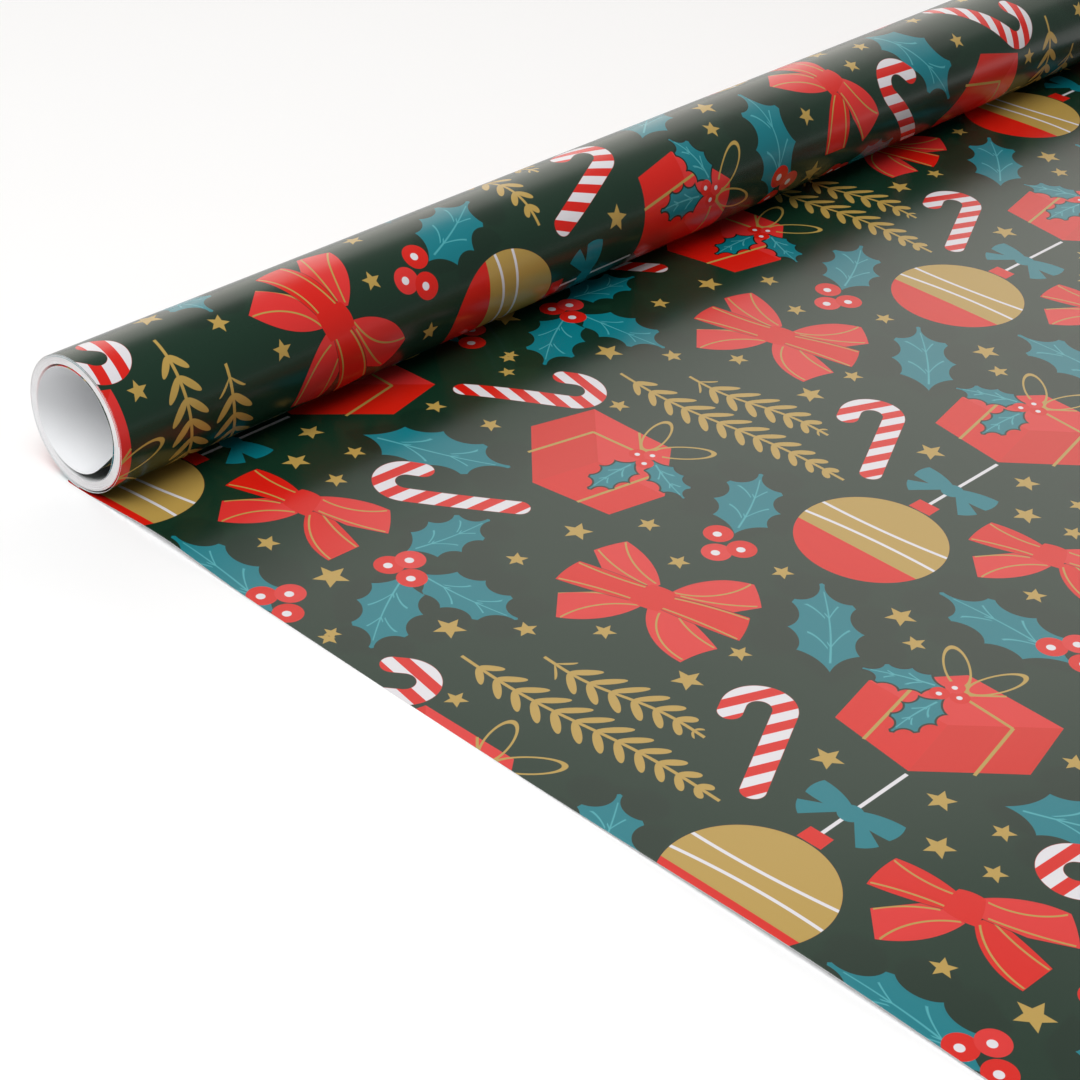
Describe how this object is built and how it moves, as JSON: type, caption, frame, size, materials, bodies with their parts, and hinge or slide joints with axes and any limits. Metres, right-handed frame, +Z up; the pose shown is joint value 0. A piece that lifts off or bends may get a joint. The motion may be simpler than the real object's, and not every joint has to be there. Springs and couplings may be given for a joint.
{
  "type": "wrapping paper roll",
  "caption": "Coreless roll of printed gift wrap lying on its own drawn-out sheet, joined by a tucked fold; the roll turns about its axis.",
  "frame": {"origin": "on the table plane, directly under the middle of the roll's axis", "axes": "+X along the roll, +Z up; the sheet is drawn out towards -Y"},
  "size_m": [0.7, 0.528, 0.057],
  "materials": {
    "printed_face": "glossy coated print, dark green ground with red, white, gold and teal motifs",
    "white_back": "smooth uncoated white back",
    "turn_edges": "cut edges of many tight turns, white with fine printed lines"
  },
  "bodies": {
    "laid_sheet": {"unrolled_sheet": "printed_face", "tucked_fold": "printed_face"},
    "roll": {"outer_wrap": "printed_face", "wound_pack": "turn_edges", "loose_turn": "white_back", "inner_tail": "white_back"}
  },
  "joints": [
    {"name": "roll_turn", "type": "hinge", "parent": "laid_sheet", "child": "roll", "pos_m": [0, 0, 0.029], "axis": [1, 0, 0], "continuous": true}
  ]
}
